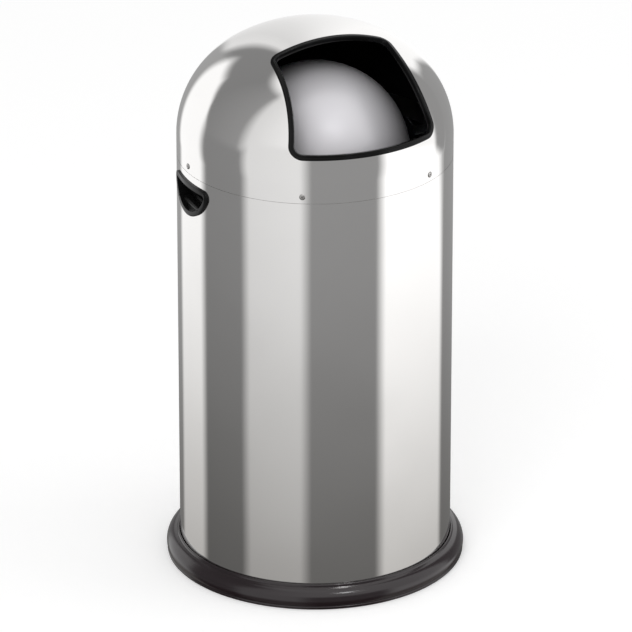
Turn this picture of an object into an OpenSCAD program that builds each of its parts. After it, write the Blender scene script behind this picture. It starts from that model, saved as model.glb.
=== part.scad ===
// Dome top waste receptacle: a polished steel casing with a ball-shaped swing
// flap behind its mouth, over a galvanised liner that stands on a black base.
// Millimetres, +Z up, origin on the floor at the middle of the base.
// The mouth faces -Y, the flap turns about X and the side grips are at -X and +X.

/* [Body] */
// Outside diameter of the steel body and dome
body_d = 364; // [352:1:380]
// Thickness of the stainless sheet
sheet_t = 1; // [0.8:0.1:1.4]
// Height of the joint line between body and dome
seam_z = 574; // [560:1:600]
// Depth of the stiffening hoop inside the lower edge
hoop_h = 18; // [12:1:30]
// Thickness of the stiffening hoop
hoop_t = 3; // [2:0.5:4]
// How far the inner joint band reaches below the joint line
band_below = 6; // [4:0.5:8]
// How far the inner joint band reaches above the joint line
band_above = 22; // [18:1:24]
// Thickness of the joint band
band_t = 1; // [0.8:0.1:1.5]

/* [Dome] */
// Straight part of the dome above the joint line
skirt_h = 26; // [25:1:36]
// How much lower the dome is than half a ball
dome_flat = 32; // [26:1:38]
// How much larger the crown's radius is than the body's
crown_extra = 40; // [36:1:46]
// Thickness of the black inner hood
hood_t = 1.3; // [1:0.1:2]
// Gap between the hood and the steel dome
hood_gap = 0.2; // [0.1:0.05:0.4]

/* [Mouth] */
// Height of the mouth's lower edge above the joint line
sill_up = 58; // [52:1:64]
// Width of dome left beside the mouth's lower edge, seen from the front
mouth_beside = 76; // [70:1:84]
// How much narrower each side of the mouth is at its upper corners
mouth_taper = 20; // [14:1:26]
// Distance of the mouth's upper edge in front of the axis
mouth_top_y = 38; // [32:1:46]
// Radius of the mouth's corners
mouth_corner = 14; // [12:0.5:20]
// Width of the trim as seen from outside
trim_w = 7.5; // [6.5:0.25:9]
// How far the trim's lip covers the steel
trim_lip = 4.5; // [3.5:0.25:5]
// How far the trim stands proud of the steel
trim_proud = 2; // [1.5:0.1:3]
// Height of the raised bead
bead_h = 0.9; // [0.5:0.1:1.4]
// Thickness of the trim's inner lip
inner_lip_t = 1.5; // [1:0.1:2.5]
// Gap between the trim and the cut edge of the steel
trim_gap = 0.3; // [0.1:0.05:0.5]

/* [Rivets] */
// Height of the seam rivets above the joint line
rivet_up = 9; // [8:0.5:12]
// Diameter of the rivet heads
rivet_head_d = 8; // [6:0.5:9]
// Height of the rivet heads
rivet_head_h = 1.3; // [1:0.1:1.8]
// Diameter of the rivet shanks
rivet_d = 4; // [3:0.2:4.8]
// Diameter of the hole in a blind rivet's head
rivet_eye_d = 2.2; // [1.6:0.1:2.6]
// Height of a rivet's closed end behind the sheets
bulb_h = 2; // [1.5:0.25:2.5]
// Number of rivets round the joint
seam_rivet_count = 6; // [4:2:8]
// Gap round a rivet's shank
rivet_gap = 0.05; // [0.02:0.01:0.1]

/* [Side grips] */
// Width of a grip's rim
grip_w = 104; // [96:1:112]
// Height of a grip's rim
grip_h = 46; // [42:1:48]
// Distance of a grip's upper edge below the joint line
grip_drop = 12; // [11:0.5:16]
// Depth of the grip's pocket behind the steel
grip_depth = 28; // [22:1:32]
// Wall thickness of the grip
grip_wall = 2.5; // [2:0.25:3]
// Width of the grip's rim on the steel
grip_rim = 4; // [3:0.25:5]
// How far the grip's rim stands proud
grip_proud = 2.4; // [1.5:0.1:3]
// Radius of the grip's upper corners
grip_corner = 10; // [8.5:0.5:13]
// Width of the finger slot across the grip's floor
slot_w = 60; // [50:1:66]
// Height of the finger slot
slot_h = 5; // [4:0.5:7]
// Depth of the finger slot
slot_deep = 13; // [11:0.5:15]
// Distance of the slot below the grip's upper edge
slot_down = 28.5; // [27:0.5:30]
// Height of the upright part of the grip's floor above the slot
slot_room = 8; // [7:0.5:9]
// Depth of the grip's floor at its lower edge
floor_low = 4; // [3:0.5:5]
// Gap between a grip and its hole in the steel
grip_gap = 0.3; // [0.1:0.05:0.5]
// Thickness of the retainer behind the steel
retainer_t = 2; // [1.5:0.25:3]
// Width of the retainer outside its hole
retainer_w = 7; // [5:0.5:8]
// Gap between a retainer and the joint band
retainer_gap = 0.5; // [0.4:0.1:1]
// Gap between a retainer and the grip it holds
retainer_fit = 0.1; // [0.05:0.05:0.2]

/* [Flap] */
// Room between the ball flap and the outside of the body
flap_room = 56; // [54:1:62]
// Distance of the flap's axis below the joint line
flap_drop = 7; // [5:0.5:10]
// Thickness of the flap's shell
flap_t = 1; // [0.8:0.1:1.4]
// Thickness of the rolled bead on the flap's edge
flap_bead = 4; // [3:0.5:6]
// How far the flap's bead stands in from its shell
bead_in = 0.8; // [0.5:0.1:1.2]
// Diameter of the hubs on the flap's sides
hub_d = 64; // [58:1:72]
// How far the hubs stand outside the ball
hub_out = 5.5; // [4:0.5:7]
// Diameter of the flap's stub axles
axle_d = 8; // [6:0.5:10]
// Radial running gap of the stub axles in their bushes
axle_gap = 0.05; // [0.02:0.01:0.1]
// Step of the axle's shoulder beyond its shank
axle_shoulder = 2; // [1.5:0.25:2.5]
// Gap between the axle's shoulder and the flap's bead
shoulder_gap = 0.3; // [0.2:0.05:0.5]
// Step of the axle's head beyond its shank
axle_head_step = 3; // [2:0.25:3.5]
// Height of the axle's head
axle_head_h = 3; // [2:0.25:4]
// Length of the axle beyond its clip
axle_past = 1.5; // [1:0.25:2.5]
// Swing of the flap to either side, in degrees
flap_swing = 50; // [30:1:60]
// Radius on which the stop pins lie from the axis
stop_radius = 22; // [20:0.5:24]
// Diameter of the stop pins
stop_d = 5; // [4:0.5:6]
// Gap between a stop pin and the sides of its slot
stop_gap = 0.5; // [0.3:0.1:1]
// Depth of the stop pins in the hubs' slots
stop_in = 5; // [4:0.5:6]
// Height of the stop pins' heads
stop_head_h = 2; // [1.5:0.25:2.5]
// Sheet left below a stop pin
ear_below = 6; // [5:0.5:8]
// Distance of the counterweight's axis below the flap's
weight_drop = 88; // [80:1:94]
// Diameter of the counterweight bar
weight_d = 28; // [24:1:32]
// Width of the counterweight's arms
arm_w = 20; // [16:1:26]
// Thickness of the counterweight's arms
arm_t = 3; // [2:0.5:4]
// Room between the counterweight's arms and the flap's shell
arm_inside = 8; // [6:0.5:10]
// Diameter of the screws that hold the counterweight
arm_screw_d = 6; // [5:0.5:8]
// Length of the counterweight's screws in the weight
weight_screw_in = 14; // [10:1:18]
// Height of the heads of the counterweight's screws
weight_head_h = 3; // [2:0.5:4]

/* [Pivot brackets] */
// Thickness of the bracket plate
bracket_t = 2; // [1.5:0.25:3]
// Width of the bracket plate
bracket_w = 26; // [24:1:34]
// Distance of the bracket's foot below the joint band's upper edge
foot_down = 3; // [2:0.5:4]
// Room between the bracket's shelf and the rivet's closed end above it
shelf_room = 1; // [0.5:0.25:2]
// Gap between the hub and the bush's flange
hub_play = 0.5; // [0.3:0.1:1]
// Thickness of the bush's flange
bush_flange_t = 2; // [1.5:0.25:3]
// Diameter of the bush's flange
bush_flange_d = 18; // [16:1:22]
// Wall thickness of the bush
bush_wall = 2; // [1.5:0.25:3]
// Length of a bush beyond its bracket
bush_past = 0.5; // [0.4:0.1:1]
// Gap between a bush and the axle's clip
clip_gap = 0.5; // [0.3:0.1:0.8]
// Thickness of the clips on the axles' ends
clip_t = 1.5; // [1:0.25:2]
// Diameter of the clips on the axles' ends
clip_d = 15; // [13:0.5:18]

/* [Base] */
// How far the base ring stands out beyond the body
ring_out = 18; // [16:0.5:24]
// Height of the base ring
ring_h = 30; // [28:0.5:34]
// Radius of the ring's rounded flank
flank_r = 16; // [12:0.5:17]
// Height of the middle of the rounded flank
flank_z = 11; // [10:0.5:12]
// Width of the ring's upper lip
lip_w = 3.2; // [2.6:0.2:4]
// Depth of the crease above the ring's foot
crease = 1.4; // [0.8:0.1:2]
// Height of the ring's foot below the crease
foot_z = 4; // [3:0.5:5]
// Height of the groove's floor, where the casing stands
groove_z = 6; // [5:0.5:7]
// Height of the ring's inner upstand
upstand_h = 20; // [16:1:24]
// Thickness of the ring's inner upstand
upstand_t = 3.3; // [2.5:0.1:5]
// Gap between the casing and the base
seat_gap = 0.3; // [0.2:0.05:0.5]
// Side gap between the casing and the ring's walls
side_gap = 0.4; // [0.3:0.05:0.8]
// Distance of the ring's inner edge inside the body
flange_in = 42; // [36:1:52]
// Height of the flange's underside above the floor
flange_lift = 1; // [0.5:0.25:2]
// Distance of the base plate's screws from the ring's inner edge
base_screw_in = 12; // [8:1:16]
// Thickness of the base plate
plate_t = 1.5; // [1:0.25:2.5]
// Number of screws that hold the base plate
base_screw_count = 6; // [3:1:8]
// Diameter of the base plate's screws
base_screw_d = 4; // [3:0.5:5]
// Height of the base plate's screws above the floor
screw_lift = 2; // [1.5:0.25:3]
// Height of the heads of the base plate's screws
base_head_h = 2; // [1.5:0.25:2.5]
// Number of blocks that centre the liner
block_count = 4; // [3:1:6]
// Height of the centring blocks
block_h = 20; // [12:1:30]
// Width of the centring blocks
block_w = 34; // [24:1:50]
// Turn of the first centring block from the side
block_turn = 45; // [30:5:60]

/* [Liner] */
// Distance of the liner's rim below the joint line
liner_down = 104; // [94:1:140]
// Distance of the liner's foot inside the outside of the body
liner_foot_in = 21; // [19:0.5:26]
// Distance of the liner's mouth inside the outside of the body
liner_top_in = 17; // [15:0.5:19]
// Thickness of the liner's sheet
liner_t = 1; // [0.8:0.1:1.5]
// Thickness of the liner's rolled rim
liner_rim = 6; // [4:0.5:7]
// Height of the liner's floor above its foot
floor_up = 6; // [4:0.5:10]
// Side gap between the liner and the centring blocks
liner_gap = 0.8; // [0.5:0.1:1.5]
// Diameter of the liner's handle wire
wire_d = 5; // [4:0.5:6]
// Width of a handle between the middles of its sides
handle_w = 90; // [76:1:100]
// Drop of a handle below its hinge
handle_drop = 52; // [44:1:58]
// Inner radius of a handle's bends
handle_bend = 8; // [6:0.5:12]
// Distance of the handle's hinge below the liner's rim
hinge_down = 26; // [24:1:34]
// Width of the curled ear that holds the handle
ear_w = 48; // [40:1:54]
// Thickness of the ear's sheet
ear_t = 2; // [1.5:0.25:2.5]
// Gap between an ear and the liner's wall
ear_gap = 0.3; // [0.2:0.05:0.4]
// Radial running gap of the handle in its ear
handle_gap = 0.05; // [0.02:0.01:0.1]
// Room between a handle's ends and the liner's wall
handle_room = 1; // [0.8:0.1:2]
// Diameter of the liner's rivets
ear_rivet_d = 4; // [3:0.5:5]
// Height of the heads of the liner's rivets
ear_head_h = 1.4; // [1:0.1:2]

/* [Hidden] */
$fn = 96;
over = 1;
steel = [0.80, 0.80, 0.79];
polished = [0.87, 0.87, 0.87];
zinc = [0.66, 0.68, 0.69];
black = [0.07, 0.065, 0.07];
nylon = [0.86, 0.85, 0.80];

// Dome
body_r = body_d / 2;
body_in = body_r - sheet_t;
shoulder_z = seam_z + skirt_h;
knuckle_x = dome_flat + pow(dome_flat, 2) / (2 * crown_extra);
knuckle_r = body_r - knuckle_x;
crown_r = body_r + crown_extra;
top_z = shoulder_z + body_r - dome_flat;
crown_z = top_z - crown_r;
crown_angle = atan2(knuckle_x, shoulder_z - crown_z);
hood_in = sheet_t + hood_gap;
hood_z = seam_z + band_above + over;

// Base
ring_r = body_r + ring_out;
flange_r = body_r - flange_in;
plate_z = groove_z;
plate_top = plate_z + plate_t;
groove_out = body_r + side_gap;
groove_in = body_in - hoop_t - side_gap;
upstand_in = groove_in - upstand_t;
plate_r = upstand_in - side_gap;
body_z = groove_z + seat_gap;
screw_ring_r = flange_r + base_screw_in;

// Mouth
sill_z = seam_z + sill_up;
mouth_half = body_r - mouth_beside;
mouth_top_half = mouth_half - mouth_taper;
mouth_corner_z = dome_height(norm([mouth_top_half, mouth_top_y + mouth_corner]));
mouth_lean = atan((mouth_half - mouth_top_half) / (mouth_corner_z - sill_z));
trim_in = hood_in + hood_t;

// Flap and its pivots
flap_r = body_r - flap_room;
flap_z = seam_z - flap_drop;
hub_r = hub_d / 2;
hub_x = flap_r + hub_out;
axle_r = axle_d / 2;
ear_x = hub_x + hub_play + bush_flange_t;
arm_x = flap_r - flap_t - arm_inside;
shoulder_r = axle_r + axle_shoulder;
axle_head_r = axle_r + axle_head_step;
bead_r = flap_r - flap_t - bead_in;
shoulder_x = sqrt(pow(bead_r, 2) - pow(shoulder_r, 2)) - shoulder_gap;
bush_end = ear_x + bracket_t + bush_past;
clip_x = bush_end + clip_gap;
axle_end = clip_x + clip_t + axle_past;
foot_r = body_in - band_t;
foot_top = seam_z + band_above - foot_down;
ear_low = flap_z - stop_radius - stop_d / 2 - ear_below;
rivet_z = seam_z + rivet_up;
bulb_r = 0.75 * rivet_d;
bulb_gap = 0.1;
shelf_z = rivet_z - bulb_r - shelf_room - bracket_t;

// Grips
grip_top = seam_z - grip_drop;
grip_r = (pow(grip_w / 2, 2) + pow(grip_h, 2)) / (2 * grip_h);
grip_mid = grip_top + grip_r - grip_h;
grip_back_x = body_r - grip_depth;

// Liner
liner_z = plate_top + seat_gap;
liner_top = seam_z - liner_down;
liner_h = liner_top - liner_z;
liner_foot_r = body_r - liner_foot_in;
liner_top_r = body_r - liner_top_in;
hinge_z = liner_top - hinge_down;
hinge_y = hinge_line_y();
ear_in = liner_t + ear_gap;
ear_low_z = hinge_z - wire_d / 2 - handle_gap - 2 * ear_t;
ear_rivet_z = hinge_z + wire_d / 2 + ear_t + 1.25 * ear_rivet_d;
ear_high_z = ear_rivet_z + 1.25 * ear_rivet_d;

// Height of the dome's outer surface at a distance r from the axis.
function dome_height(r) =
    r > knuckle_x + knuckle_r * sin(crown_angle)
        ? shoulder_z + sqrt(pow(knuckle_r, 2) - pow(r - knuckle_x, 2))
        : crown_z + sqrt(pow(crown_r, 2) - pow(r, 2));

// Outer radius of the tapered liner at a height above the floor.
function liner_r(z) =
    liner_foot_r + (liner_top_r - liner_foot_r) * (z - liner_z) / liner_h;

// Distance of the handle's hinge from the axis: its ends clear the round wall.
function hinge_line_y() =
    sqrt(pow(liner_r(hinge_z) - liner_t, 2) - pow(handle_w / 2 + wire_d / 2, 2))
        - wire_d / 2 - handle_room;

// A tube that stands on the Z axis.
module tube(r_out, r_in, z0, z1) {
    translate([0, 0, z0])
        difference() {
            cylinder(h = z1 - z0, r = r_out);
            translate([0, 0, -over])
                cylinder(h = z1 - z0 + 2 * over, r = r_in);
        }
}

// Copies for the left side, where X is negative.
module on_left() {
    mirror([1, 0, 0]) children();
}

// ---------------------------------------------------------------- dome form

// Half sections of the dome, moved in from the outer face by inset: the tight
// curve over the shoulder and the flatter crown, which meet at crown_angle.
module knuckle_section(inset) {
    knuckle = [knuckle_x, shoulder_z];
    split = knuckle + 2 * body_r * [sin(crown_angle), cos(crown_angle)];
    intersection() {
        translate(knuckle)
            circle(r = knuckle_r - inset);
        polygon([knuckle, [2 * body_r, shoulder_z], [2 * body_r, split.y], split]);
    }
}

module crown_section(inset) {
    knuckle = [knuckle_x, shoulder_z];
    split = knuckle + 2 * body_r * [sin(crown_angle), cos(crown_angle)];
    intersection() {
        translate([0, crown_z])
            circle(r = crown_r - inset);
        polygon([[0, shoulder_z], knuckle, split, [0, split.y]]);
    }
}

module zone_section(crown, inset) {
    if (crown)
        crown_section(inset);
    else
        knuckle_section(inset);
}

// The curved skin between two depths below the dome's outer face, as two zones
// that are each cut by the children before they are joined.
module dome_skin(inset_out, inset_in) {
    for (crown = [false, true])
        difference() {
            rotate_extrude()
                difference() {
                    zone_section(crown, inset_out);
                    zone_section(crown, inset_in);
                }
            children();
        }
}

// The mouth seen from the front: a leaning-sided shape with round lower corners.
module mouth_front(inset) {
    lean_sin = sin(mouth_lean);
    lean_cos = cos(mouth_lean);
    mid = [mouth_half - mouth_corner * (1 + lean_sin) / lean_cos, sill_z + mouth_corner];
    r = mouth_corner - inset;
    side = mid + r * [lean_cos, lean_sin];
    high = [side.x - (top_z + over - side.y) * tan(mouth_lean), top_z + over];
    polygon([
        [-mid.x, mid.y - r], [mid.x, mid.y - r], side, high,
        [-high.x, high.y], [-side.x, side.y]
    ]);
    for (way = [-1, 1])
        translate([way * mid.x, mid.y])
            circle(r = r);
}

// The mouth seen from above: a straight back edge with round corners.
module mouth_plan(inset) {
    mid = [mouth_top_half - mouth_corner, mouth_top_y + mouth_corner];
    r = mouth_corner - inset;
    reach = body_r;
    side_x = mid.x + r;
    side_y = -mid.y - 2 * over;
    polygon([
        [mid.x, r - mid.y], [-mid.x, r - mid.y], [-side_x, -mid.y], [-side_x, side_y],
        [-side_x - reach, side_y - reach], [side_x + reach, side_y - reach],
        [side_x, side_y], [side_x, -mid.y]
    ]);
    for (way = [-1, 1])
        translate([way * mid.x, -mid.y])
            circle(r = r);
}

// The mouth's opening as a solid, drawn in from the trim's outer edge by inset.
module mouth_cut(inset) {
    intersection() {
        rotate([90, 0, 0])
            linear_extrude(height = body_r + mouth_corner)
                mouth_front(inset);
        translate([0, 0, sill_z - mouth_corner])
            linear_extrude(height = top_z - sill_z + 2 * mouth_corner)
                mouth_plan(inset);
    }
}

// ---------------------------------------------------------------- base

module ring_section() {
    lip_mid = groove_out + lip_w / 2;
    flank_x = ring_r - flank_r;
    // outer wall with its rounded flank
    intersection() {
        translate([flank_x, flank_z])
            circle(r = flank_r);
        translate([groove_out, flank_z])
            square([ring_r - groove_out, flank_r + over]);
    }
    translate([groove_out, foot_z + crease])
        square([ring_r - groove_out, flank_z - foot_z - crease]);
    translate([groove_out, foot_z])
        square([ring_r - crease - groove_out, crease]);
    translate([groove_out, 0])
        square([ring_r - crease / 2 - groove_out, foot_z]);
    // upper lip against the steel
    translate([groove_out, flank_z])
        square([lip_w, ring_h - lip_w / 2 - flank_z]);
    translate([lip_mid, ring_h - lip_w / 2])
        circle(r = lip_w / 2);
    // groove floor, upstand and flange
    translate([upstand_in, 0])
        square([groove_out - upstand_in, groove_z]);
    translate([upstand_in, 0])
        square([upstand_t, upstand_h]);
    translate([flange_r, flange_lift])
        square([upstand_in - flange_r, plate_z - flange_lift]);
}

module base_screw_places() {
    for (turn = [0 : 360 / base_screw_count : 359])
        rotate([0, 0, turn])
            translate([screw_ring_r, 0, 0])
                children();
}

module base_ring() {
    color(black)
        difference() {
            rotate_extrude($fn = 180)
                ring_section();
            base_screw_places()
                translate([0, 0, screw_lift])
                    cylinder(h = plate_z, d = base_screw_d);
        }
}

module base_plate() {
    color(zinc)
        difference() {
            translate([0, 0, plate_z])
                cylinder(h = plate_t, r = plate_r);
            base_screw_places()
                translate([0, 0, plate_z - over])
                    cylinder(h = plate_t + 2 * over, d = base_screw_d);
        }
}

module base_screws() {
    color(zinc)
        base_screw_places() {
            translate([0, 0, screw_lift])
                cylinder(h = plate_top - screw_lift, d = base_screw_d);
            translate([0, 0, plate_top])
                cylinder(h = base_head_h, d1 = 2 * base_screw_d, d2 = 1.6 * base_screw_d);
        }
}

module centring_blocks() {
    block_in = liner_r(liner_z + block_h) + liner_gap;
    color(black)
        for (turn = [block_turn : 360 / block_count : block_turn + 359])
            rotate([0, 0, turn])
                intersection() {
                    tube(plate_r - over, block_in, plate_top, plate_top + block_h);
                    translate([0, -block_w / 2, 0])
                        cube([plate_r, block_w, plate_top + block_h]);
                }
}

// ---------------------------------------------------------------- liner

// A solid cone that follows the liner's outer face, drawn in by inset.
module liner_cone(inset, z0, z1) {
    translate([0, 0, z0])
        cylinder(h = z1 - z0, r1 = liner_r(z0) - inset, r2 = liner_r(z1) - inset);
}

module liner_skin(inset_out, inset_in, z0, z1) {
    difference() {
        liner_cone(inset_out, z0, z1);
        liner_cone(inset_in, z0 - over, z1 + over);
    }
}

module front_and_back() {
    children();
    rotate([0, 0, 180])
        children();
}

module ear_rivet_places() {
    front_and_back()
        for (way = [-1, 1])
            rotate([0, 0, way * asin(ear_w / 3 / liner_r(ear_rivet_z))])
                translate([0, -liner_r(ear_rivet_z), ear_rivet_z])
                    rotate([90, 0, 0])
                        children();
}

module liner_wall() {
    rim_z = liner_top - liner_rim / 2;
    color(zinc)
        difference() {
            union() {
                liner_skin(0, liner_t, liner_z, rim_z);
                rotate_extrude()
                    translate([liner_r(rim_z) - liner_t / 2, rim_z])
                        circle(d = liner_rim);
            }
            ear_rivet_places()
                translate([0, 0, -2 * liner_t])
                    cylinder(h = 4 * liner_t, d = ear_rivet_d);
        }
}

module liner_floor() {
    floor_z = liner_z + floor_up;
    color(zinc)
        difference() {
            liner_cone(liner_t, liner_z + over, floor_z);
            liner_cone(2 * liner_t, liner_z, floor_z - liner_t);
        }
}

module liner_ears() {
    barrel_r = wire_d / 2 + handle_gap + ear_t;
    color(zinc)
        front_and_back()
            difference() {
                union() {
                    intersection() {
                        liner_skin(ear_in, ear_in + ear_t, ear_low_z, ear_high_z);
                        translate([-ear_w / 2, -body_r, ear_low_z])
                            cube([ear_w, body_r, ear_high_z - ear_low_z]);
                    }
                    intersection() {
                        liner_cone(ear_in, ear_low_z, ear_high_z);
                        translate([-ear_w / 2, -body_r, hinge_z - barrel_r])
                            cube([ear_w, body_r - hinge_y, ear_t]);
                    }
                    translate([-ear_w / 2, -hinge_y, hinge_z])
                        rotate([0, 90, 0])
                            cylinder(h = ear_w, r = barrel_r);
                }
                translate([-ear_w / 2 - over, -hinge_y, hinge_z])
                    rotate([0, 90, 0])
                        cylinder(h = ear_w + 2 * over, d = wire_d + 2 * handle_gap);
                ear_rivet_places()
                    translate([0, 0, -3 * ear_t])
                        cylinder(h = 4 * ear_t, d = ear_rivet_d);
            }
}

module ear_rivets() {
    grip = liner_t + ear_t;
    color(zinc)
        ear_rivet_places() {
            translate([0, 0, -grip - ear_head_h / 2])
                cylinder(h = grip + ear_head_h, d = ear_rivet_d);
            translate([0, 0, ear_gap])
                cylinder(h = ear_head_h, d1 = 1.8 * ear_rivet_d, d2 = 1.3 * ear_rivet_d);
            translate([0, 0, -grip - 2 * ear_gap - ear_head_h])
                cylinder(h = ear_head_h, d1 = 1.3 * ear_rivet_d, d2 = 1.6 * ear_rivet_d);
        }
}

// One quarter bend of round wire, from -X at its start down to -Z at its end.
module wire_bend(turn) {
    rotate([90, turn, 0])
        rotate_extrude(angle = 90)
            translate([handle_bend + wire_d / 2, 0])
                circle(d = wire_d);
}

module wire_bar(length) {
    cylinder(h = length, d = wire_d);
}

// A closed loop of wire that hangs from its straight upper side.
module handle_loop() {
    bend = handle_bend + wire_d / 2;
    across = handle_w / 2 - bend;
    down = handle_drop - 2 * bend;
    for (z = [0, -handle_drop])
        translate([-across, 0, z])
            rotate([0, 90, 0])
                wire_bar(2 * across);
    for (way = [-1, 1])
        translate([way * handle_w / 2, 0, -bend - down])
            wire_bar(down);
    translate([across, 0, -bend])
        wire_bend(0);
    translate([across, 0, -bend - down])
        wire_bend(90);
    translate([-across, 0, -bend - down])
        wire_bend(180);
    translate([-across, 0, -bend])
        wire_bend(270);
}

module liner_handle_front() {
    color(zinc)
        translate([0, -hinge_y, hinge_z])
            handle_loop();
}

module liner_handle_back() {
    color(zinc)
        translate([0, hinge_y, hinge_z])
            handle_loop();
}

// ---------------------------------------------------------------- casing

module seam_rivet_places() {
    for (turn = [0 : 360 / seam_rivet_count : 359])
        rotate([0, 0, turn])
            translate([body_r, 0, rivet_z])
                rotate([0, 90, 0])
                    children();
}

module rivet_holes() {
    seam_rivet_places()
        translate([0, 0, -sheet_t - band_t - bracket_t - over])
            cylinder(h = sheet_t + band_t + bracket_t + 2 * over, d = rivet_d + 2 * rivet_gap);
}

// The D-shaped outline of a grip, seen along X, drawn in by inset.
module grip_outline(inset) {
    small = grip_corner - inset;
    big = grip_r - inset;
    mid_z = grip_mid - grip_top;
    small_z = -grip_corner;
    small_x = sqrt(pow(grip_r - grip_corner, 2) - pow(mid_z - small_z, 2));
    way_out = [small_x, small_z - mid_z] / norm([small_x, small_z - mid_z]);
    touch = [0, mid_z] + big * way_out;
    beyond = [0, mid_z] + 2 * grip_r * way_out;
    intersection() {
        translate([0, mid_z])
            circle(r = big);
        polygon([
            [-small_x, -inset], [small_x, -inset], touch, beyond,
            [beyond.x, mid_z - 2 * grip_r], [-beyond.x, mid_z - 2 * grip_r],
            [-beyond.x, beyond.y], [-touch.x, touch.y]
        ]);
    }
    for (way = [-1, 1])
        translate([way * small_x, small_z])
            circle(r = small);
}

// The outline as a solid along +X, from x0 to x1.
module grip_prism(inset, x0, x1) {
    translate([x0, 0, grip_top])
        rotate([90, 0, 90])
            linear_extrude(height = x1 - x0)
                grip_outline(inset);
}

module body_shell() {
    color(polished)
        difference() {
            tube(body_r, body_in, body_z, seam_z);
            for (way = [0, 180])
                rotate([0, 0, way])
                    grip_prism(grip_rim - grip_gap, body_r / 2, body_r + over);
        }
}

module bottom_hoop() {
    color(steel)
        tube(body_in, body_in - hoop_t, body_z, body_z + hoop_h);
}

module joint_band() {
    color(steel)
        difference() {
            tube(body_in, foot_r, seam_z - band_below, seam_z + band_above);
            rivet_holes();
        }
}

module dome_shell() {
    color(polished) {
        dome_skin(0, sheet_t)
            mouth_cut(trim_lip);
        difference() {
            tube(body_r, body_in, seam_z, shoulder_z);
            rivet_holes();
        }
    }
}

module inner_hood() {
    color(black) {
        dome_skin(hood_in, hood_in + hood_t)
            mouth_cut(trim_lip);
        tube(body_r - hood_in, body_r - hood_in - hood_t, hood_z, shoulder_z);
    }
}

// One blind rivet that clamps a stack of sheets of the given thickness.
module blind_rivet(stack) {
    shank = rivet_d / 2;
    difference() {
        union() {
            translate([0, 0, -stack - bulb_h / 2])
                cylinder(h = stack + bulb_h / 2 + rivet_head_h / 2, r = shank);
            cylinder(h = rivet_head_h / 2, d = rivet_head_d);
            translate([0, 0, rivet_head_h / 2])
                cylinder(h = rivet_head_h / 2, d1 = rivet_head_d, d2 = 0.7 * rivet_head_d);
            translate([0, 0, -stack - bulb_h - bulb_gap])
                cylinder(h = bulb_h, r = bulb_r);
        }
        translate([0, 0, -over])
            cylinder(h = rivet_head_h + 2 * over, d = rivet_eye_d);
    }
}

module seam_rivets() {
    color(steel)
        for (turn = [0 : 360 / seam_rivet_count : 359])
            rotate([0, 0, turn])
                translate([body_r, 0, rivet_z])
                    rotate([0, 90, 0])
                        blind_rivet(sheet_t + band_t + (turn % 180 == 0 ? bracket_t : 0));
}

// One layer of the trim in one of the dome's zones: between two depths, and
// between two outlines drawn in from the trim's outer edge.
module trim_layer(crown, inset_out, inset_in, cut_out, cut_in) {
    intersection() {
        rotate_extrude()
            difference() {
                zone_section(crown, inset_out);
                zone_section(crown, inset_in);
            }
        difference() {
            mouth_cut(cut_out);
            mouth_cut(cut_in);
        }
    }
}

module mouth_trim() {
    web = trim_lip + trim_gap;
    lip_in = trim_in + inner_lip_t;
    color(black)
        for (crown = [false, true]) {
            trim_layer(crown, -trim_proud, 0, 0, web + over);
            trim_layer(crown, -trim_proud - bead_h, lip_in + trim_gap, web, trim_w);
            trim_layer(crown, trim_in, lip_in, over, web + over);
        }
}

module grip() {
    floor_top_x = grip_back_x + grip_wall;
    floor_low_x = body_r - floor_low;
    slot_z = grip_top - slot_down;
    reach = body_r + grip_proud + over;
    cavity_low = grip_top - grip_h;
    difference() {
        union() {
            intersection() {
                tube(body_r + grip_proud, body_r, grip_top - grip_h - over, grip_top + over);
                grip_prism(0, body_r / 2, body_r + grip_proud + over);
            }
            intersection() {
                cylinder(h = top_z, r = body_r + grip_proud);
                grip_prism(grip_rim, grip_back_x, body_r + grip_proud + over);
            }
        }
        // pocket with a floor that slopes out towards its lower edge
        intersection() {
            grip_prism(grip_rim + grip_wall, grip_back_x, body_r + grip_proud + over);
            translate([0, grip_w / 2, 0])
                rotate([90, 0, 0])
                    linear_extrude(height = grip_w)
                        polygon([
                            [floor_top_x, grip_top + over], [reach, grip_top + over],
                            [reach, cavity_low], [floor_low_x, cavity_low],
                            [floor_low_x, slot_z - slot_h], [floor_top_x, slot_z + slot_room]
                        ]);
        }
        // slot for the finger tips
        translate([floor_low_x - slot_deep, -slot_w / 2, slot_z - slot_h / 2])
            cube([slot_deep + slot_room, slot_w, slot_h]);
    }
}

module grip_right() {
    color(black)
        grip();
}

module grip_left() {
    color(black)
        on_left()
            grip();
}

module grip_retainer() {
    low = grip_top - grip_h - retainer_w;
    difference() {
        intersection() {
            tube(body_in, body_in - retainer_t, low, seam_z - band_below - retainer_gap);
            grip_prism(grip_rim - retainer_w, body_r / 2, body_r);
        }
        grip_prism(grip_rim - retainer_fit, body_r / 3, body_r + over);
    }
}

module grip_retainer_right() {
    color(black)
        grip_retainer();
}

module grip_retainer_left() {
    color(black)
        on_left()
            grip_retainer();
}

// ---------------------------------------------------------------- pivots

// A cylinder along +X between x0 and x1, on the flap's axis or off it.
module shaft_x(x0, x1, r, y = 0, z = flap_z) {
    translate([x0, y, z])
        rotate([0, 90, 0])
            cylinder(h = x1 - x0, r = r);
}

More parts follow.
